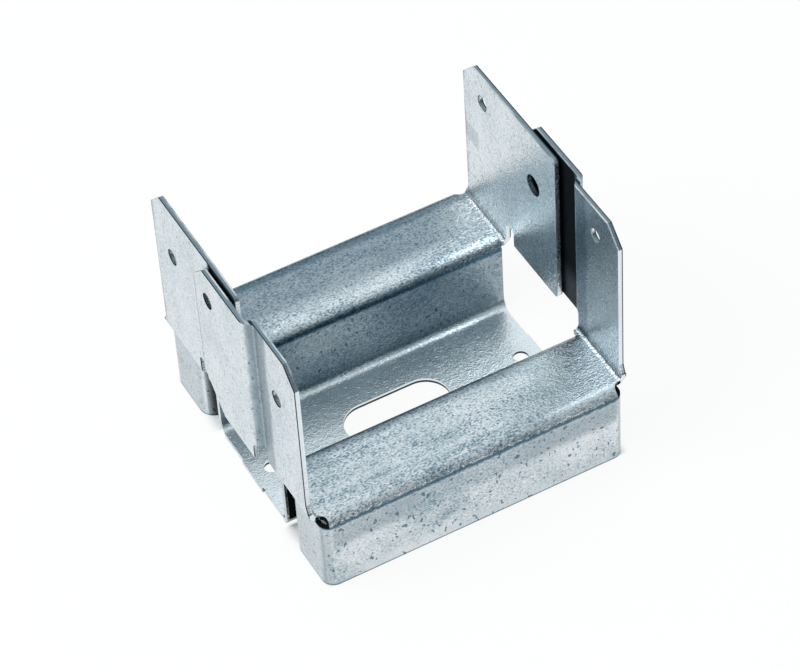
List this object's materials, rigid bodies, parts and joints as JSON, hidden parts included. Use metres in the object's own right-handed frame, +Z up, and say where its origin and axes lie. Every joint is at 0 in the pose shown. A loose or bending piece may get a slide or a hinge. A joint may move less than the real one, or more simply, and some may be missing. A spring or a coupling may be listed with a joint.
{
  "type": "stand-off post base",
  "caption": "Folded sheet-steel base that holds a square timber post off the ground, with upright side flanges, a slotted floor and closed ridge ends.",
  "frame": {"origin": "middle of the floor's underside, on the ground, between the four outer corners", "axes": "+X along the two ridges, towards the right-hand flanges; +Y from the front ridge, whose flanges lap over the others, to the back ridge; +Z up"},
  "size_m": [0.0984, 0.0874, 0.077],
  "materials": {
    "galvanised_sheet": "hot-dip galvanised, dull with a fine mottled grain"
  },
  "bodies": {
    "root": {"post_base": "galvanised_sheet"}
  },
  "joints": []
}
